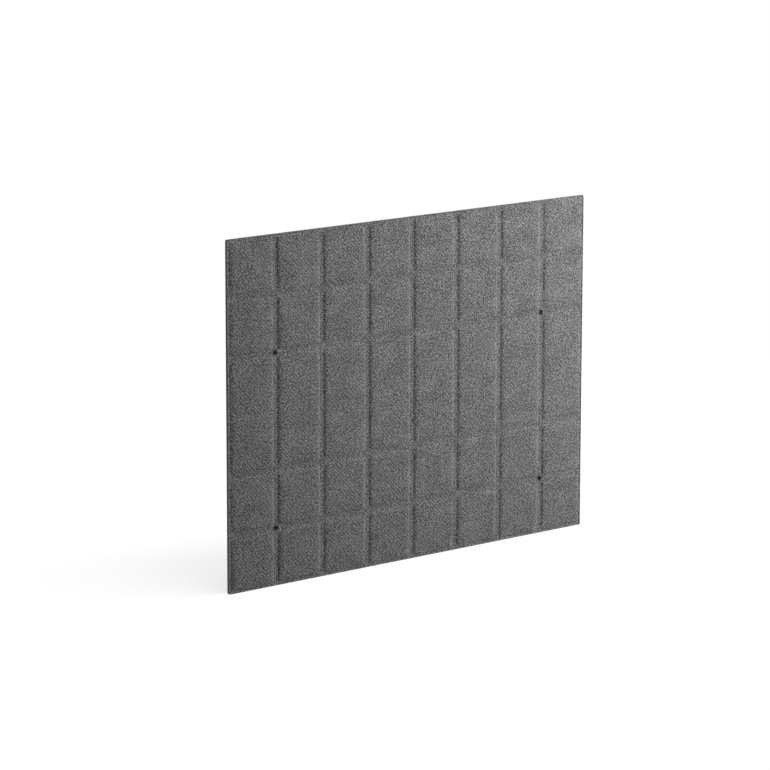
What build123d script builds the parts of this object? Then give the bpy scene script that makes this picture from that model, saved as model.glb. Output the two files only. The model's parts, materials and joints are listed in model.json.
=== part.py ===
"""Desk screen: a moulded felt panel with four two-part fixing bushes.

The panel stands on its bottom edge. X runs along its width, Y through its thickness and Z up.
The origin is the middle of the bottom edge, and the front looks towards -Y.
Two felt facings are pressed over a fibre core. Rows and columns of full pads are left between
grooves, where all three layers are pressed flat, and the rim is pressed like the grooves.
All lengths are in millimetres and all angles in degrees.
"""
import os
from itertools import accumulate
from math import radians, sin, tan

from build123d import *

# The outline of the panel.
panel_width = 800.0
panel_height = 600.0
panel_corner_radius = 3.0

# The layers. The facings keep their thickness, and the core is thin only where it is pressed.
facing_thickness = 2.0
pressed_core_thickness = 1.0

# The relief, which is the same on both faces.
column_count = 8
row_shares = (1, 1, 2, 1, 1)  # from the bottom row to the top row
rim_width = 4.0
groove_floor_width = 8.0
pad_rise = 2.7
pad_slope = 60.0  # between the side of a pad and the groove floor
pad_corner_radius = 5.0
pad_shoulder_radius = 5.0
fillet_limit_share = 0.95  # the largest part of a wall that a shoulder may take
least_shoulder_radius = 0.3

# The fixing bushes, for M4 bolts. The front half has the inner sleeve, the rear half the outer one.
bolt_hole_diameter = 4.3
inner_sleeve_wall = 0.7
outer_sleeve_wall = 0.7
sleeve_clearance = 0.05
sleeve_end_gap = 0.1
flange_diameter = 9.0
flange_thickness = 0.8
flange_stand = 0.5  # from the groove floor up to the face of the flange
flange_edge_chamfer = 0.2
bolt_lead_in = 0.3
felt_clearance = 0.1

# The groove crossings that hold a bush, counted in grooves from the left and from the bottom.
fixing_columns = {"left": 1, "right": column_count - 1}
fixing_rows = {"lower": 1, "upper": 3}

cut_overrun = 1.0

# What follows from the sizes above.
half_web = pressed_core_thickness / 2 + facing_thickness
column_pitch = (panel_width - 2 * rim_width + groove_floor_width) / column_count
row_pitch = (panel_height - 2 * rim_width + groove_floor_width) / sum(row_shares)
first_line = rim_width - groove_floor_width / 2
column_lines = [first_line + column_pitch * n - panel_width / 2 for n in range(column_count + 1)]
row_lines = [first_line + row_pitch * n for n in accumulate(row_shares, initial=0)]
slope_tangent = tan(radians(pad_slope))
half_slope_tangent = tan(radians(pad_slope / 2))
bolt_hole_radius = bolt_hole_diameter / 2
inner_sleeve_radius = bolt_hole_radius + inner_sleeve_wall
outer_sleeve_radius = inner_sleeve_radius + sleeve_clearance + outer_sleeve_wall
flange_radius = flange_diameter / 2
flange_seat = half_web + flange_stand - flange_thickness  # distance from the panel's middle plane


def facing_plane(distance):
    """The plane that looks out of the front, at a distance in front of the panel's middle."""
    return Plane(origin=(0, -distance, 0), x_dir=(1, 0, 0), z_dir=(0, -1, 0))


def outline_plate(near, far):
    """A plate with the panel's outline, between two distances in front of its middle."""
    outline = Pos(0, panel_height / 2) * RectangleRounded(panel_width, panel_height, panel_corner_radius)
    return extrude(facing_plane(near) * outline, amount=far - near)


def limited_shoulder(top_corner):
    """The outer shoulder radius, kept within the side of the pad and its rounded corner."""
    slope_length = pad_rise / sin(radians(pad_slope))
    longest = fillet_limit_share * min(slope_length, top_corner) / half_slope_tangent
    return min(pad_shoulder_radius, longest)


def pad(width, height, layer_depth):
    """One pad, standing on the XY plane with its foot centred there.

    layer_depth is how far the surface lies under the face of the panel, so that
    the surfaces of all layers are parallel and their shoulders share their centres.
    """
    inset = layer_depth * half_slope_tangent
    foot_corner = pad_corner_radius - inset
    foot = RectangleRounded(width - 2 * inset, height - 2 * inset, foot_corner)
    body = extrude(foot, amount=pad_rise, taper=90 - pad_slope)
    outer_top_corner = pad_corner_radius - pad_rise / slope_tangent
    shoulder = max(limited_shoulder(outer_top_corner) - layer_depth, least_shoulder_radius)
    return fillet(body.faces().sort_by(Axis.Z)[-1].edges(), shoulder)


def pads(layer_depth):
    """All pads of one face, at a depth under the front of the panel."""
    plane = facing_plane(half_web - layer_depth)
    pad_width = column_pitch - groove_floor_width
    columns = [(left + right) / 2 for left, right in zip(column_lines, column_lines[1:])]
    placed = []
    for low, high in zip(row_lines, row_lines[1:]):
        shape = pad(pad_width, high - low - groove_floor_width, layer_depth)
        placed += [plane * Pos(x, (low + high) / 2) * shape for x in columns]
    return placed


def fixing_points():
    """The name and place of each bush, as X and Z."""
    return {
        f"{row}_{side}": (column_lines[column], row_lines[line])
        for row, line in fixing_rows.items()
        for side, column in fixing_columns.items()
    }


def cylinder_between(x, z, radius, near, far):
    """A cylinder through the thickness, between two distances in front of the panel's middle."""
    return extrude(facing_plane(near) * Pos(x, z) * Circle(radius), amount=far - near)


def sleeve_holes(near, far):
    """The holes for the outer sleeves, through a layer between two distances."""
    radius = outer_sleeve_radius + felt_clearance
    return [
        cylinder_between(x, z, radius, near - cut_overrun, far + cut_overrun)
        for x, z in fixing_points().values()
    ]


def flange_pockets():
    """The pockets that the front flanges sit in, open to the front."""
    face = half_web + pad_rise + cut_overrun
    radius = flange_radius + felt_clearance
    return [cylinder_between(x, z, radius, flange_seat, face) for x, z in fixing_points().values()]


def front_facing():
    """The front felt sheet, pressed over the pads of the core."""
    inner_face = pressed_core_thickness / 2
    sheet = outline_plate(inner_face, half_web) + pads(0)
    sheet -= pads(facing_thickness)
    sheet -= sleeve_holes(inner_face, half_web)
    return sheet - flange_pockets()


def core():
    """The fibre core: pads on both faces, joined by the thin web that the grooves press."""
    half_core = pressed_core_thickness / 2
    front_pads = pads(facing_thickness)
    rear_pads = [mirror(shape, about=Plane.XZ) for shape in front_pads]
    body = outline_plate(-half_core, half_core) + front_pads + rear_pads
    return body - sleeve_holes(-half_core, half_core)


def flange():
    """A flange on the front side, seated on its pocket floor, round the Y axis."""
    disc = cylinder_between(0, 0, flange_radius, flange_seat, flange_seat + flange_thickness)
    face = disc.faces().sort_by(Axis.Y)[0]
    return chamfer(face.edges(), flange_edge_chamfer)


def bolt_hole():
    """The bolt hole through a whole bush, with a lead-in at the front face."""
    face = flange_seat + flange_thickness
    hole = cylinder_between(0, 0, bolt_hole_radius, -face - cut_overrun, face + cut_overrun)
    mouth = Cone(bolt_hole_radius, bolt_hole_radius + bolt_lead_in, bolt_lead_in)
    return hole + facing_plane(face - bolt_lead_in / 2) * mouth


def inner_bush():
    """The front half: a flange and the inner sleeve, which stops just short of the rear flange."""
    sleeve = cylinder_between(0, 0, inner_sleeve_radius, sleeve_end_gap - flange_seat, flange_seat)
    return flange() + sleeve - bolt_hole()


def outer_bush():
    """The rear half, made looking out of the front: a flange and the sleeve round the inner one."""
    sleeve = cylinder_between(0, 0, outer_sleeve_radius, sleeve_end_gap - flange_seat, flange_seat)
    inner_radius = inner_sleeve_radius + sleeve_clearance
    socket = cylinder_between(0, 0, inner_radius, -flange_seat - cut_overrun, flange_seat)
    return flange() + sleeve - bolt_hole() - socket


def main():
    """Makes every piece and writes one file for each."""
    facing = front_facing()
    rear_half = mirror(outer_bush(), about=Plane.XZ)
    pieces = {
        "front_felt_facing": facing,
        "rear_felt_facing": mirror(facing, about=Plane.XZ),
        "moulded_fibre_core": core(),
    }
    for name, (x, z) in fixing_points().items():
        pieces[f"{name}_front_bush"] = Pos(x, 0, z) * inner_bush()
        pieces[f"{name}_rear_bush"] = Pos(x, 0, z) * rear_half

    os.makedirs("parts", exist_ok=True)
    for name, shape in pieces.items():
        export_step(shape, f"parts/{name}.step")
        print(name, len(shape.solids()), round(shape.volume))


main()
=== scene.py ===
import json
from itertools import accumulate
from math import cos, pi, radians, sin

import bpy
import numpy as np
from mathutils import Matrix, Vector

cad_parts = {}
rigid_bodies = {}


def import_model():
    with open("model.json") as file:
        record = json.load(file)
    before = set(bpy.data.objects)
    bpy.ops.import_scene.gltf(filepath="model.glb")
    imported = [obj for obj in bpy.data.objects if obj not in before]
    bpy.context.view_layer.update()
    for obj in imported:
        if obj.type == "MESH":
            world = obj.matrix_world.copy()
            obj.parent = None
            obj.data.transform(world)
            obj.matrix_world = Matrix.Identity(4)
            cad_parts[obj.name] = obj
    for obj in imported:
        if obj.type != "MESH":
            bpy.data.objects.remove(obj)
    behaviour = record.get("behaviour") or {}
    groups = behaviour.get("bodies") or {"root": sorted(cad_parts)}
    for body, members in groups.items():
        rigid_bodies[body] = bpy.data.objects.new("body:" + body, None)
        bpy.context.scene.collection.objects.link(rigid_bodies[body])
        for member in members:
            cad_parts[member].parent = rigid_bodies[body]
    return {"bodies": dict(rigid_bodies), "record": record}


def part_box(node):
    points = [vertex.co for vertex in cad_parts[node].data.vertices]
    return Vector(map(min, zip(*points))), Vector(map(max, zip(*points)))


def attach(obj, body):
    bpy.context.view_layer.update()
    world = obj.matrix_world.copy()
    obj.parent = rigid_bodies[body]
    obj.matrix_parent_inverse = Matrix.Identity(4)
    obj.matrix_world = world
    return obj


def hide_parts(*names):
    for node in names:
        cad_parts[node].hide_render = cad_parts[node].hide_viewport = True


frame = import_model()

MM = 0.001
BODY = "root" if "root" in frame["bodies"] else next(iter(frame["bodies"]))
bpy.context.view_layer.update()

# Sizes that the frame gives. A depth is a distance in front of the panel's middle plane.
front_low, front_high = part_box("front_felt_facing")
mounts = {mount["name"]: mount for mount in frame["record"]["mounts"]}
bolts = mounts["bracket_bolts"]
panel_width = front_high.x - front_low.x
panel_height = front_high.z
pad_top = -front_low.y
inner_face = -front_high.y
flange_face = -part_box("lower_left_front_bush")[0].y

# Sizes of the panel, as in the model.
facing_thickness = 2.0 * MM
half_web = inner_face + facing_thickness
column_count = 8
row_shares = (1, 1, 2, 1, 1)  # from the bottom row to the top row
panel_corner = 3.0 * MM

# The side of a pad: pairs of a distance from the middle of the groove, in millimetres, and the
# slope there, in degrees.
side_slopes = [
    (0, 0), (3, 1), (4.2, 10), (5.2, 28.5), (6.2, 28), (7.2, 17.5), (8.2, 12), (9.2, 8.8), (10.5, 5.8),
    (12, 3.4), (14, 1.9), (17, 0.6), (24, 0),
]
side_steps = 400
corner_softness = 2.1 * MM

# The rim: pairs of a distance from the panel's edge and the lift of the face there, both in
# millimetres. The lip stands up, the strip behind it is pressed in, and the outer pads start low.
rim_lifts = [
    (0, 0.3), (0.3, 0.24), (1.2, -0.26), (1.8, -0.54), (2.5, -0.64), (4, -0.66), (5, -0.66), (6, -0.84),
    (7, -1.05), (8, -1.1), (10, -1.06), (14, -1.0), (20, -0.9), (30, -0.64), (45, -0.24), (60, 0),
]
edge_rounding = 0.3 * MM
seam_inset = 0.14 * MM
core_gap = 0.06 * MM
# Rings of points along a facing's cut edge, by their share of the way from its back to its
# rounding, and by their share of the seam's inset.
edge_rings = ((0.12, 0.45), (0.4, 0.0))

# The unevenness of the felt on the pads.
ripple_height = 0.07 * MM
ripple_waves = 14
ripple_lengths = (35 * MM, 160 * MM)

# The grid's lines, in millimetres from a groove line or from the panel's edge.
line_distances = [0, 2.5, 3.4, 4.1, 4.8, 5.5, 6.3, 7.2, 8.2, 9.5, 11.2, 13.5, 17, 23]
edge_distances = [0, 0.12, 0.3, 0.7, 1.2, 1.8, 2.5, 3.0]
coarse_distances = [0, 4.1, 5.5, 7.2, 9.5, 13.5]
longest_step = 16.0 * MM
zone_half = 8.2 * MM
place_digits = 7

# The bushes and the holes that they sit in.
flange_radius = 4.5 * MM
flange_thickness = 0.8 * MM
flange_dish = 0.05 * MM
dish_radius = 3.7 * MM
felt_clearance = 0.1 * MM
bolt_hole_radius = bolts["dims"]["hole_r_mm"] * MM
bolt_lead_in = 0.3 * MM
sleeve_wall = 0.7 * MM
sleeve_clearance = 0.05 * MM
sleeve_end_gap = 0.1 * MM
bush_rounding = 0.18 * MM
bush_rounding_steps = 4
bush_segments = 96
pocket_lip = 0.2 * MM
pocket_lip_turns = (30, 60, 90)
pocket_ring_shares = (0.15, 0.35, 0.6, 0.85, 1.0)

# What follows from the sizes above.
inner_sleeve_radius = bolt_hole_radius + sleeve_wall
socket_radius = inner_sleeve_radius + sleeve_clearance
outer_sleeve_radius = socket_radius + sleeve_wall
hole_radius = outer_sleeve_radius + felt_clearance
pocket_radius = flange_radius + felt_clearance
flange_seat = flange_face - flange_thickness
middle_height = panel_height / 2
pitch_x = panel_width / column_count
pitch_z = panel_height / sum(row_shares)
column_lines = [pitch_x * n - panel_width / 2 for n in range(column_count + 1)]
row_lines = [pitch_z * n for n in accumulate(row_shares, initial=0)]
bolt_x = bolts["dims"]["spacing_x_mm"] / 2 * MM
bolt_z = bolts["dims"]["spacing_y_mm"] / 2 * MM
bolt_middle = bolts["pos_m"][2]
fixings = {
    "lower_left": (-bolt_x, bolt_middle - bolt_z),
    "lower_right": (bolt_x, bolt_middle - bolt_z),
    "upper_left": (-bolt_x, bolt_middle + bolt_z),
    "upper_right": (bolt_x, bolt_middle + bolt_z),
}

# The cloth: one repeat of its weave, in millimetres, how far the yarns fall off to their sides and
# to the ends of a float, its greys from dark to light, and how far the yarns wander, in millimetres.
weave_x = 7.39
weave_z = 7.59
yarns_in_repeat = 4
yarn_side_drop = 0.75
yarn_end_drop = 0.7
cloth_tones = [(0.0, 0.025), (0.3, 0.07), (0.5, 0.125), (0.75, 0.21), (1.0, 0.34)]
wander_scale = 0.35
wander_reach = 1.1

# The grain of the cloth: its stretch along X and along Z, its scale in waves per millimetre, its
# detail and its roughness.
fleck_grain = (1.0, 1.0, 0.58, 2.0, 0.6)
clump_grain = (1.0, 1.3, 0.25, 0.0, 0.5)
mottle_grain = (1.0, 1.3, 0.024, 1.0, 0.5)
warp_fibre_grain = (4.5, 0.9, 1.0, 3.0, 0.6)
weft_fibre_grain = (0.9, 4.5, 1.0, 3.0, 0.6)

# How far each kind of unevenness moves the cloth's tone along its scale of tones.
yarn_share = 0.45
fleck_share = 3.7
clump_share = 1.05
fibre_share = 1.3
mottle_share = 0.35
# Painted shade between the yarns: the tone follows the yarns' relief, darker at their sides and where they
# dive under.
relief_shade_share = 0.3
# Painted shade on the groove floors: how far it darkens the cloth's tone, and how much of it the grooves
# between columns get.
groove_shade_share = 0.045
groove_shade_column_share = 0.3

# How far the yarns, the fibres and the waves between yarns raise the cloth, as shares of its relief.
cloth_relief = 1.0 * MM
yarn_height = 0.5
fibre_height = 0.3
wave_height = 0.28

# The cut felt and the nylon. A noise has a scale in waves per millimetre, a detail and a roughness.
edge_tone = 0.115
# The felt in the pockets and holes round the fittings is darker than the cut edge, as painted shade in these
# recesses.
pocket_shade_tone = 0.05
fibre_tone = 0.11
edge_stops = ((0.3, 0.45), (0.5, 1.0), (0.7, 1.9))  # a value and its share of the tone
edge_relief = 0.25 * MM
layer_stretch = (0.5, 5.0, 0.5)
layer_noise = (0.9, 3.0, 0.6)
edge_noise = (1.4, 3.0, 0.65)
nylon_tones = [(0.3, 0.02), (0.6, 0.03), (0.8, 0.045)]
nylon_relief = 0.03 * MM
nylon_grain_noise = (6.0, 2.0, 0.5)
nylon_wear_noise = (0.7, 3.0, 0.6)

# The lamps: place and aim in metres, power in watts and spread in degrees.
lamp_size = 1.3
lamps = {
    "key": ((1.55, -0.925, 0.93), (0.4, 0, 0.817), 25.2, 115.8),
    "fill": ((-2.2, 0.6, 0.7), (0, 0, middle_height), 9.0, 180),
    "back": ((1.55, 0.925, 0.8), (0, 0, middle_height), 32.0, 180),
}
sky_strength = 0.3

# The floor and the painted shadow on it behind the panel, which fades out along a slanted line.
floor_reach = 30.0
floor_glow = 0.99
floor_tone = 0.06
shade_reach = 0.65
shade_samples = 8
shade_share = 0.62
shade_edge = 20 * MM
shade_slant = 0.3
shade_fade = (0.10, 0.43)

# The camera, from the panel's outline in the photograph.
camera_azimuth = radians(-40.15)
camera_elevation = radians(11.224)
camera_roll = radians(0.087)
camera_distance = 6.52605
camera_side = 44.371 * MM
camera_rise = -6.417 * MM
focal_pixels = 3787.6
picture_pixels = 770
sensor_width = 36.0
farthest_view = 100.0


# The relief as a formula.

side_places, side_degrees = np.array(side_slopes).T
fine_places = np.linspace(0, side_places[-1], side_steps) * MM
fine_slopes = np.tan(np.radians(np.interp(fine_places, side_places * MM, side_degrees)))
fine_rises = (fine_slopes[1:] + fine_slopes[:-1]) / 2 * np.diff(fine_places)
fine_heights = np.concatenate([[0], np.cumsum(fine_rises)])


def line_distance(values, lines):
    """The distance of each value from the nearest of some lines."""
    return np.min(np.abs(values[..., None] - np.array(lines)), axis=-1)


def pad_height(x, z):
    """The height of the pads over the groove floor. Near a corner, both sides are blended."""
    along_x, along_z = line_distance(x, column_lines), line_distance(z, row_lines)
    blend = np.exp(-along_x / corner_softness) + np.exp(-along_z / corner_softness)
    return np.interp(-corner_softness * np.log(blend), fine_places, fine_heights)


def ripple(x, z, seed):
    """The unevenness of the felt, from a few long waves."""
    draw = np.random.default_rng(seed)
    total = np.zeros_like(x)
    for _ in range(ripple_waves):
        turn, phase = draw.uniform(0, 2 * pi, 2)
        length = draw.uniform(*ripple_lengths)
        total += np.sin((x * cos(turn) + z * sin(turn)) * 2 * pi / length + phase)
    return ripple_height * total / np.sqrt(ripple_waves)


def edge_distance(x, z):
    """How far each point lies inside the panel's outline."""
    return np.minimum(panel_width / 2 - np.abs(x), np.minimum(z, panel_height - z))


def face_depth(x, z, seed):
    """How far the felt's face lies from the panel's middle plane."""
    height = pad_height(x, z)
    lift = np.interp(edge_distance(x, z), *(np.array(rim_lifts).T * MM))
    return half_web + height + lift + ripple(x, z, seed) * height / fine_heights[-1]


# The grid of one layer.

def grid_lines(lines, distances, ends):
    """Grid places along one axis: close together at each groove, further apart on the pads."""
    places = set()
    for left, right in zip(lines, lines[1:]):
        near = [d * MM for d in distances if d * MM < (right - left) / 2]
        steps = int(np.ceil((right - left - 2 * near[-1]) / longest_step))
        places.update(left + d for d in near)
        places.update(right - d for d in near)
        places.update(np.linspace(left + near[-1], right - near[-1], steps + 1).tolist())
    places.update(lines[0] + d * MM for d in ends)
    places.update(lines[-1] - d * MM for d in ends)
    return np.array(sorted({round(place, place_digits) for place in places}))


def round_corners(x, z):
    """Moves the grid's points near the four corners of the panel onto the rounded outline."""
    from_middle = z - middle_height
    over_x = np.maximum(np.abs(x) - (panel_width / 2 - panel_corner), 0) / panel_corner
    over_z = np.maximum(np.abs(from_middle) - (middle_height - panel_corner), 0) / panel_corner
    new_x = over_x * np.sqrt(1 - over_z ** 2 / 2)
    new_z = over_z * np.sqrt(1 - over_x ** 2 / 2)
    moved_x = x + np.sign(x) * (new_x - over_x) * panel_corner
    moved_z = z + np.sign(from_middle) * (new_z - over_z) * panel_corner
    return moved_x, moved_z


def border(count_x, count_z):
    """The indices of a grid's outer points in one loop, anticlockwise in X and Z."""
    index = np.arange(count_x * count_z).reshape(count_x, count_z)
    return [*index[:-1, 0], *index[-1, :-1], *index[:0:-1, -1], *index[0, :0:-1]]


class Shell:
    """Points and faces of one closed shell, with a material number for each face."""

    def __init__(self):
        self.points = []
        self.faces = []
        self.kinds = []

    def add_points(self, x, y, z):
        """Adds points and returns their indices."""
        first = len(self.points)
        self.points.extend(zip(np.ravel(x).tolist(), np.ravel(y).tolist(), np.ravel(z).tolist()))
        return list(range(first, len(self.points)))

    def add_face(self, corners, kind):
        self.faces.append(corners)
        self.kinds.append(kind)

    def band(self, loop, next_loop, kind):
        """Faces between two loops of as many points."""
        for n in range(len(loop)):
            after = (n + 1) % len(loop)
            self.add_face((loop[n], loop[after], next_loop[after], next_loop[n]), kind)

    def tube(self, loops, kind):
        """Faces between each loop and the next."""
        for loop, next_loop in zip(loops, loops[1:]):
            self.band(loop, next_loop, kind)

    def grid(self, first, shape, keep, flip):
        """The faces of a grid whose cells are kept. Its points start at an index."""
        count_z = shape[1]
        for i, j in np.argwhere(keep).tolist():
            a = first + i * count_z + j
            corners = (a, a + count_z, a + count_z + 1, a + 1)
            self.add_face(corners[::-1] if flip else corners, 0)

    def object(self, name, materials, mirrored=False):
        """The shell as an object on the panel's body, mirrored through the thickness if asked."""
        points = [(x, -y, z) for x, y, z in self.points] if mirrored else self.points
        faces = [face[::-1] for face in self.faces] if mirrored else self.faces
        mesh = bpy.data.meshes.new(name)
        mesh.from_pydata(points, [], faces)
        for material in materials:
            mesh.materials.append(material)
        mesh.polygons.foreach_set("material_index", self.kinds)
        mesh.polygons.foreach_set("use_smooth", [True] * len(faces))
        mesh.validate()
        mesh.update()
        made = bpy.data.objects.new(name, mesh)
        bpy.context.scene.collection.objects.link(made)
        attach(made, BODY)
        return made


def zone_of(xs, zs, place):
    """The grid's index range of the square zone round a fixing."""
    low_x, high_x = (int(np.argmin(np.abs(xs - v))) for v in (place[0] - zone_half, place[0] + zone_half))
    low_z, high_z = (int(np.argmin(np.abs(zs - v))) for v in (place[1] - zone_half, place[1] + zone_half))
    return low_x, high_x, low_z, high_z


def outside_zones(shape, zones):
    """Which cells of a grid lie outside the zones."""
    keep = np.ones((shape[0] - 1, shape[1] - 1), bool)
    for low_x, high_x, low_z, high_z in zones:
        keep[low_x:high_x, low_z:high_z] = False
    return keep


def zone_loop(first, count_z, zone):
    """The indices of the points round a zone, anticlockwise in X and Z."""
    low_x, high_x, low_z, high_z = zone
    cells = [(i, low_z) for i in range(low_x, high_x)]
    cells += [(high_x, j) for j in range(low_z, high_z)]
    cells += [(i, high_z) for i in range(high_x, low_x, -1)]
    cells += [(low_x, j) for j in range(high_z, low_z, -1)]
    return [first + i * count_z + j for i, j in cells]


def circle_round(shell, loop, place, radius):
    """A circle's X and Z with one point for each point of a loop, and the loop's own X and Z."""
    x, _, z = np.array([shell.points[n] for n in loop]).T
    turn = np.arctan2(z - place[1], x - place[0])
    return place[0] + radius * np.cos(turn), place[1] + radius * np.sin(turn), x, z


def circle_loop(shell, loop, place, radius, depth):
    """A flat circle with one point for each point of a loop round it."""
    x, z, _, _ = circle_round(shell, loop, place, radius)
    return shell.add_points(x, np.full_like(x, -depth), z)


def pocket_and_hole(shell, outer, inner, place, seed):
    """The felt round one fixing: its face, the lip, the flange's pocket and the sleeve's hole."""
    lip_radius = pocket_radius + pocket_lip
    circle_x, circle_z, x, z = circle_round(shell, outer, place, lip_radius)
    loops = [outer]
    for share in pocket_ring_shares:
        ring_x, ring_z = x + (circle_x - x) * share, z + (circle_z - z) * share
        loops.append(shell.add_points(ring_x, -face_depth(ring_x, ring_z, seed), ring_z))
    face_bands = len(loops)
    for turn in pocket_lip_turns:
        radius = lip_radius - pocket_lip * sin(radians(turn))
        depth = half_web - pocket_lip * (1 - cos(radians(turn)))
        loops.append(circle_loop(shell, outer, place, radius, depth))
    steps = ((pocket_radius, flange_seat), (hole_radius, flange_seat), (hole_radius, inner_face))
    loops += [circle_loop(shell, outer, place, radius, depth) for radius, depth in steps]
    loops.append(inner)
    shell.tube(loops[:face_bands + 1], 0)
    # The lip, the pocket and the hole take the darker felt, painted shade round the fitting.
    shell.tube(loops[face_bands:], 2)


def cut_border(shell, edge_loop, back_loop):
    """The cut edge of a facing, which draws in towards the seam at its back."""
    outline = np.array([shell.points[n] for n in edge_loop])[:, [0, 2]]
    half_size = np.array([panel_width / 2, middle_height])
    off_centre = outline - np.array([0, middle_height])
    inward = -np.sign(off_centre) * (np.abs(off_centre) > half_size - panel_corner)
    inward = inward / np.maximum(np.linalg.norm(inward, axis=1), 1)[:, None]
    loops = [back_loop]
    for share, inset in edge_rings:
        depth = inner_face + (half_web - edge_rounding - inner_face) * share
        x, z = (outline + inward * seam_inset * inset).T
        loops.append(shell.add_points(x, np.full_like(x, -depth), z))
    loops.append(edge_loop)
    for n, (move_x, move_z) in zip(back_loop, inward * seam_inset):
        x, y, z = shell.points[n]
        shell.points[n] = (x + move_x, y, z + move_z)
    shell.tube(loops, 1)


def lowness(values, lines):
    """1 on a groove floor and 0 on top of a pad, from the distance to the nearest line."""
    return 1 - np.interp(line_distance(values, lines), fine_places, fine_heights) / fine_heights[-1]


def facing(name, node, materials, seed, mirrored):
    """One felt facing: face, rounded cut edge, back, and a stepped hole at each fixing."""
    shell = Shell()
    xs = grid_lines(column_lines, line_distances, edge_distances)
    zs = grid_lines(row_lines, line_distances, edge_distances)
    flat_x, flat_z = np.meshgrid(xs, zs, indexing="ij")
    x, z = round_corners(flat_x, flat_z)
    short = np.clip(edge_rounding - edge_distance(flat_x, flat_z), 0, edge_rounding)
    rounding = edge_rounding - np.sqrt(edge_rounding ** 2 - short ** 2)
    shell.add_points(x, rounding - face_depth(x, z, seed), z)
    back_first = len(shell.points)
    shell.add_points(x, -(inner_face + pad_height(x, z)), z)

    zones = [zone_of(xs, zs, place) for place in fixings.values()]
    keep = outside_zones(x.shape, zones)
    shell.grid(0, x.shape, keep, flip=False)
    shell.grid(back_first, x.shape, keep, flip=True)
    for place, zone in zip(fixings.values(), zones):
        outer, inner = (zone_loop(first, x.shape[1], zone) for first in (0, back_first))
        pocket_and_hole(shell, outer, inner, place, seed)
    edge_loop = border(*x.shape)
    cut_border(shell, edge_loop, [back_first + n for n in edge_loop])

    made = shell.object(name, materials, mirrored)
    x, _, z = np.array(shell.points).T
    # Painted shade on the groove floors, full in the grooves between rows and less in those between columns,
    # kept as a point attribute.
    groove_shade = np.maximum(lowness(x, column_lines) * groove_shade_column_share, lowness(z, row_lines))
    made.data.attributes.new("groove_shade", "FLOAT", "POINT").data.foreach_set("value", groove_shade)
    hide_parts(node)


def core(name, node, materials):
    """The fibre core: pads on both faces, holes for the sleeves, and an edge just inside the seams."""
    shell = Shell()
    xs = grid_lines(column_lines, coarse_distances, [])
    zs = grid_lines(row_lines, coarse_distances, [])
    x, z = round_corners(*np.meshgrid(xs, zs, indexing="ij"))
    x = x * (1 - 2 * seam_inset / panel_width)
    z = middle_height + (z - middle_height) * (1 - 2 * seam_inset / panel_height)
    depth = inner_face - core_gap + pad_height(x, z)
    shell.add_points(x, -depth, z)
    rear_first = len(shell.points)
    shell.add_points(x, depth, z)

    zones = [zone_of(xs, zs, place) for place in fixings.values()]
    for place, zone in zip(fixings.values(), zones):
        front, rear = (zone_loop(first, x.shape[1], zone) for first in (0, rear_first))
        circles = [circle_loop(shell, front, place, hole_radius, side * inner_face) for side in (1, -1)]
        shell.tube([front, *circles, rear], 0)
    keep = outside_zones(x.shape, zones)
    shell.grid(0, x.shape, keep, flip=False)
    shell.grid(rear_first, x.shape, keep, flip=True)
    edge_loop = border(*x.shape)
    shell.band([rear_first + n for n in edge_loop], edge_loop, 0)
    made = shell.object(name, materials)
    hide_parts(node)


# The bushes, turned from a profile of radius and depth.

def rounded_profile(corners):
    """A closed profile with its corners rounded, each by at most a third of its shorter side."""
    count = len(corners)
    made = []
    for n in range(count):
        before, here, after = (Vector(corners[(n + k) % count]) for k in (-1, 0, 1))
        reach = min(bush_rounding, (before - here).length / 3, (after - here).length / 3)
        start = here + (before - here).normalized() * reach
        end = here + (after - here).normalized() * reach
        for step in range(bush_rounding_steps + 1):
            t = step / bush_rounding_steps
            made.append(start * (1 - t) ** 2 + here * 2 * t * (1 - t) + end * t ** 2)
    return made


def turned(name, node, profile, place, material, mirrored):
    """A round piece on a fixing's axis."""
    shell = Shell()
    turns = np.arange(bush_segments) * 2 * pi / bush_segments
    loops = []
    for radius, depth in rounded_profile(profile):
        x, z = place[0] + radius * np.cos(turns), place[1] + radius * np.sin(turns)
        loops.append(shell.add_points(x, np.full(bush_segments, -depth), z))
    shell.tube(loops + loops[:1], 0)
    made = shell.object(name, [material], mirrored)
    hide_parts(node)


def bushes(material):
    """Both halves of the bush at each fixing."""
    sleeve_end = sleeve_end_gap - flange_seat
    dish_face = flange_face - flange_dish
    face = [
        (flange_radius, flange_seat), (flange_radius, flange_face), (dish_radius, flange_face),
        (dish_radius - bolt_lead_in, dish_face), (bolt_hole_radius + bolt_lead_in, dish_face),
        (bolt_hole_radius, dish_face - bolt_lead_in),
    ]
    inner = face + [
        (bolt_hole_radius, sleeve_end), (inner_sleeve_radius, sleeve_end), (inner_sleeve_radius, flange_seat),
    ]
    outer = face + [
        (bolt_hole_radius, flange_seat), (socket_radius, flange_seat), (socket_radius, sleeve_end),
        (outer_sleeve_radius, sleeve_end), (outer_sleeve_radius, flange_seat),
    ]
    for name, place in fixings.items():
        front, rear = f"{name}_front_bush", f"{name}_rear_bush"
        turned(front + ".turned", front, inner, place, material, mirrored=False)
        turned(rear + ".turned", rear, outer, place, material, mirrored=True)


# Materials.

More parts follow.
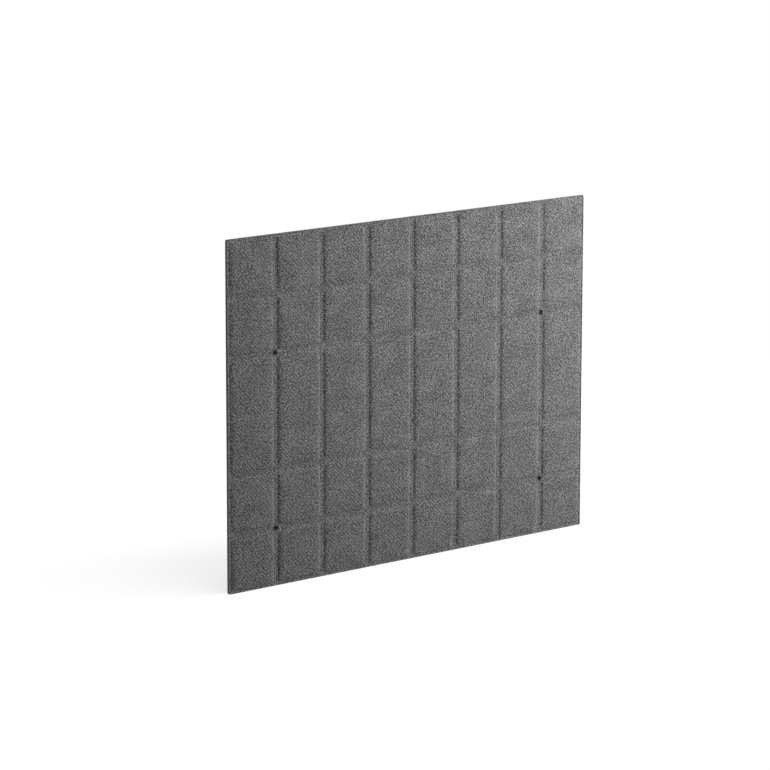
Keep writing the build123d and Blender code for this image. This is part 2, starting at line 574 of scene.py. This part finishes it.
class Nodes:
    """Makes the nodes of one material and joins them."""

    def __init__(self, name):
        self.material = bpy.data.materials.new(name)
        self.material.use_nodes = True
        self.tree = self.material.node_tree
        self.shader = self.tree.nodes["Principled BSDF"]

    def make(self, kind, inputs=(), output=0, **settings):
        """A node with its settings and inputs, given as one of its outputs."""
        node = self.tree.nodes.new(kind)
        for key, value in settings.items():
            setattr(node, key, value)
        for key, value in dict(inputs).items():
            if isinstance(value, bpy.types.NodeSocket):
                self.tree.links.new(value, node.inputs[key])
            else:
                node.inputs[key].default_value = value
        return node.outputs[output]

    def math(self, operation, *values):
        return self.make("ShaderNodeMath", enumerate(values), operation=operation)

    def vector_math(self, operation, inputs):
        return self.make("ShaderNodeVectorMath", inputs, operation=operation)

    def mix(self, share, a, b):
        return self.math("ADD", self.math("MULTIPLY", self.math("SUBTRACT", b, a), share), a)

    def vector(self, x, y, z):
        return self.make("ShaderNodeCombineXYZ", enumerate((x, y, z)))

    def parts(self, vector):
        """The X, Y and Z of a vector."""
        return tuple(self.make("ShaderNodeSeparateXYZ", {0: vector}).node.outputs)

    def place(self):
        """The place on the object, in millimetres."""
        place = self.make("ShaderNodeTexCoord", output="Object")
        return self.vector_math("SCALE", {0: place, "Scale": 1 / MM})

    def noise(self, vector, scale, detail=2.0, roughness=0.5, dimensions="3D", output=0):
        inputs = {"Vector": vector, "Scale": scale, "Detail": detail, "Roughness": roughness}
        return self.make("ShaderNodeTexNoise", inputs, output, noise_dimensions=dimensions)

    def random(self, vector):
        return self.make("ShaderNodeTexWhiteNoise", {"Vector": vector})

    def ramp(self, value, stops):
        """A grey for each value, between stops of a value and a grey."""
        made = self.tree.nodes.new("ShaderNodeValToRGB")
        elements = made.color_ramp.elements
        while len(elements) < len(stops):
            elements.new(0.5)
        for element, (place, grey) in zip(elements, stops):
            element.position = place
            element.color = (grey, grey, grey, 1)
        self.tree.links.new(value, made.inputs[0])
        return made.outputs[0]

    def map_range(self, value, low, high, new_low, new_high, **settings):
        inputs = {"Value": value, "From Min": low, "From Max": high, "To Min": new_low, "To Max": new_high}
        return self.make("ShaderNodeMapRange", inputs, **settings)

    def rough(self, signal, share, least):
        """The shader's roughness, from a signal."""
        self.link(self.math("ADD", self.math("MULTIPLY", signal, share), least), "Roughness")

    def bump(self, height, strength, distance):
        """The shader's bump, from a height."""
        inputs = {"Height": height, "Strength": strength, "Distance": distance}
        self.link(self.make("ShaderNodeBump", inputs), "Normal")

    def link(self, socket, name):
        self.tree.links.new(socket, self.shader.inputs[name])

    def set(self, **values):
        for name, value in values.items():
            self.shader.inputs[name.replace("_", " ")].default_value = value


def woven_felt(name, seed):
    """Grey melange cover: pairs of thick yarns that cross over and under, felted on the face."""
    g = Nodes(name)
    scaled = g.place()
    shift = g.vector_math("ADD", {0: scaled, 1: (seed, seed, seed)})
    wander = g.noise(shift, wander_scale, output=1)
    wander = g.vector_math("SUBTRACT", {0: wander, 1: (0.5, 0.5, 0.5)})
    wander = g.vector_math("SCALE", {0: wander, "Scale": wander_reach})
    across, _, rise = g.parts(g.vector_math("ADD", {0: scaled, 1: wander}))
    u = g.math("DIVIDE", across, weave_x / yarns_in_repeat)
    v = g.math("DIVIDE", rise, weave_z / yarns_in_repeat)
    block_u = g.math("FLOOR", g.math("DIVIDE", u, 2.0))
    block_v = g.math("FLOOR", g.math("DIVIDE", v, 2.0))
    weft_up = g.math("FLOORED_MODULO", g.math("ADD", block_u, block_v), 2.0)

    def hump(value, drop):
        """1 in the middle of each unit step, lower by drop at its ends."""
        off = g.math("SUBTRACT", g.math("MULTIPLY", g.math("FRACT", value), 2.0), 1.0)
        return g.math("SUBTRACT", 1.0, g.math("MULTIPLY", g.math("MULTIPLY", off, off), drop))

    def yarn(crosswise, lengthwise):
        """The rise of one yarn: round across its width, and high in the middle of each float."""
        ends = hump(g.math("DIVIDE", lengthwise, 2.0), yarn_end_drop)
        return g.math("MULTIPLY", hump(crosswise, yarn_side_drop), ends)

    relief = g.mix(weft_up, yarn(u, v), yarn(v, u))
    warp_tone = g.random(g.vector(g.math("FLOOR", u), block_v, seed))
    weft_tone = g.random(g.vector(block_u, g.math("FLOOR", v), seed + 7.0))
    tone = g.mix(weft_up, warp_tone, weft_tone)
    side = g.math("ADD", across, seed * 100)

    def grain(stretch_x, stretch_z, scale, detail, roughness):
        """Noise in the plane of the cloth, finer along X or Z where its stretch is larger."""
        place = g.vector(g.math("MULTIPLY", side, stretch_x), g.math("MULTIPLY", rise, stretch_z), 0.0)
        return g.noise(place, scale, detail, roughness, "2D")

    flecks = grain(*fleck_grain)
    clumps = grain(*clump_grain)
    mottle = grain(*mottle_grain)
    fibres = g.mix(weft_up, grain(*warp_fibre_grain), grain(*weft_fibre_grain))
    # The painted shade of the groove floors, read from the facing's attribute.
    groove_shade = g.make("ShaderNodeAttribute", output=2, attribute_name="groove_shade")

    # The tone follows the relief too, as painted shade between the yarns.
    value = 0.5
    for signal, middle, share in (
        (tone, 0.5, yarn_share), (flecks, 0.5, fleck_share), (clumps, 0.5, clump_share),
        (fibres, 0.5, fibre_share), (mottle, 0.5, mottle_share), (relief, 0.6, relief_shade_share),
        (groove_shade, 0.0, -groove_shade_share),
    ):
        value = g.math("ADD", g.math("MULTIPLY", g.math("SUBTRACT", signal, middle), share), value)
    g.link(g.ramp(value, cloth_tones), "Base Color")

    wave_u = g.math("SINE", g.math("MULTIPLY", u, pi / 2))
    wave_v = g.math("SINE", g.math("MULTIPLY", v, pi / 2))
    waves = g.math("MULTIPLY", g.math("MULTIPLY", wave_u, wave_v), wave_height)
    height = g.math("ADD", g.math("MULTIPLY", relief, yarn_height), g.math("MULTIPLY", fibres, fibre_height))
    g.bump(g.math("ADD", height, waves), strength=1.0, distance=cloth_relief)
    g.rough(fibres, share=0.2, least=0.78)
    g.set(Specular_IOR_Level=0.2, Sheen_Weight=0.25, Sheen_Roughness=0.6)
    return g.material


def cut_edge(name, tone):
    """Pressed and cut fibre, in layers that are thin along the panel's thickness."""
    g = Nodes(name)
    scaled = g.place()
    layers = g.noise(g.vector_math("MULTIPLY", {0: scaled, 1: layer_stretch}), *layer_noise)
    grain = g.noise(scaled, *edge_noise)
    value = g.math("ADD", g.math("MULTIPLY", layers, 0.5), g.math("MULTIPLY", grain, 0.5))
    g.link(g.ramp(value, [(place, tone * share) for place, share in edge_stops]), "Base Color")
    g.bump(value, strength=0.7, distance=edge_relief)
    g.rough(grain, share=0.2, least=0.75)
    g.set(Specular_IOR_Level=0.2, Sheen_Weight=0.2, Sheen_Roughness=0.6)
    return g.material


def black_nylon(name):
    """Satin moulded nylon, with fine grain and slightly worn brighter patches."""
    g = Nodes(name)
    scaled = g.place()
    grain = g.noise(scaled, *nylon_grain_noise)
    wear = g.noise(scaled, *nylon_wear_noise)
    g.link(g.ramp(wear, nylon_tones), "Base Color")
    g.rough(wear, share=0.25, least=0.5)
    g.bump(grain, strength=0.3, distance=nylon_relief)
    g.set(Specular_IOR_Level=0.12)
    return g.material


# The floor, the light and the camera.

def ground():
    """A pale floor that shows white, with a soft painted shadow behind the panel."""
    mesh = bpy.data.meshes.new("floor")
    turns = ((-1, -1), (1, -1), (1, 1), (-1, 1))
    mesh.from_pydata([(floor_reach * x, floor_reach * y, 0) for x, y in turns], [], [(0, 1, 2, 3)])
    floor = bpy.data.objects.new("floor", mesh)
    bpy.context.scene.collection.objects.link(floor)

    g = Nodes("floor")
    g.tree.nodes.remove(g.shader)
    x, y, _ = g.parts(g.make("ShaderNodeTexCoord", output="Object"))
    # Painted shadow: the floor's glow is dimmed by occlusion behind the panel, fading out along a slanted
    # line.
    behind = g.map_range(y, -pad_top, shade_edge, 0, 1)
    slanted = g.math("MULTIPLY_ADD", x, shade_slant, y)
    shaded = g.map_range(slanted, *shade_fade, behind, 0, interpolation_type="SMOOTHSTEP")
    lowest = g.math("MULTIPLY_ADD", shaded, -floor_glow * shade_share, floor_glow)
    near = g.make("ShaderNodeAmbientOcclusion", {"Distance": shade_reach}, "AO", samples=shade_samples)
    glow = g.make("ShaderNodeEmission", {"Strength": g.map_range(near, 0, 1, lowest, floor_glow)})
    diffuse = g.make("ShaderNodeBsdfDiffuse", {"Color": (floor_tone, floor_tone, floor_tone, 1)})
    rays = (g.make("ShaderNodeLightPath", output=kind) for kind in ("Is Camera Ray", "Is Glossy Ray"))
    both = g.make("ShaderNodeAddShader", {0: diffuse, 1: glow})
    mixed = g.make("ShaderNodeMixShader", {0: g.math("MAXIMUM", *rays), 1: diffuse, 2: both})
    g.tree.links.new(mixed, g.tree.nodes["Material Output"].inputs["Surface"])
    mesh.materials.append(g.material)


def lights():
    """A soft box on the right, weaker ones behind on both sides, and an even sky."""
    for name, (place, aim, power, spread) in lamps.items():
        data = bpy.data.lights.new(name, "AREA")
        data.size = lamp_size
        data.energy = power
        data.spread = radians(spread)
        lamp = bpy.data.objects.new(name, data)
        lamp.location = place
        lamp.rotation_euler = (Vector(aim) - Vector(place)).to_track_quat("-Z", "Y").to_euler()
        bpy.context.scene.collection.objects.link(lamp)
    world = bpy.data.worlds.new("sky")
    bpy.context.scene.world = world
    world.use_nodes = True
    tree = world.node_tree
    background = tree.nodes["Background"]
    background.inputs["Color"].default_value = (1, 1, 1, 1)
    path = tree.nodes.new("ShaderNodeLightPath")
    strength = tree.nodes.new("ShaderNodeMix")
    strength.inputs["A"].default_value = sky_strength
    strength.inputs["B"].default_value = 1.0
    tree.links.new(path.outputs["Is Camera Ray"], strength.inputs["Factor"])
    tree.links.new(strength.outputs["Result"], background.inputs["Strength"])


def photo_camera():
    """The photograph's camera."""
    away_x, away_y = sin(camera_azimuth), -cos(camera_azimuth)
    back = Vector((away_x * cos(camera_elevation), away_y * cos(camera_elevation), sin(camera_elevation)))
    level = Vector((cos(camera_azimuth), sin(camera_azimuth), 0))
    upright = back.cross(level)
    right = level * cos(camera_roll) + upright * sin(camera_roll)
    up = upright * cos(camera_roll) - level * sin(camera_roll)
    data = bpy.data.cameras.new("camera")
    data.sensor_width = sensor_width
    data.lens = focal_pixels / picture_pixels * sensor_width
    data.clip_end = farthest_view
    camera = bpy.data.objects.new("camera", data)
    target = Vector((0, 0, middle_height))
    place = target + back * camera_distance - right * camera_side - up * camera_rise
    turn = Matrix((right, up, back)).transposed()
    camera.matrix_world = Matrix.Translation(place) @ turn.to_4x4()
    bpy.context.scene.collection.objects.link(camera)
    bpy.context.scene.camera = camera


photo_camera()
lights()
ground()
front_cloth = woven_felt("front_cloth", seed=3.0)
rear_cloth = woven_felt("rear_cloth", seed=41.0)
felt_edge = cut_edge("felt_edge", edge_tone)
# Cut felt, darkened as painted shade in the pockets round the fittings.
shaded_pocket_edge = cut_edge("shaded_pocket_edge", pocket_shade_tone)
fibre = cut_edge("fibre", fibre_tone)
front_felts = [front_cloth, felt_edge, shaded_pocket_edge]
rear_felts = [rear_cloth, felt_edge, shaded_pocket_edge]
facing("front_felt_facing.relief", "front_felt_facing", front_felts, seed=5, mirrored=False)
facing("rear_felt_facing.relief", "rear_felt_facing", rear_felts, seed=11, mirrored=True)
core("moulded_fibre_core.relief", "moulded_fibre_core", [fibre])
bushes(black_nylon("black_nylon"))

bpy.context.scene.view_settings.view_transform = "Standard"
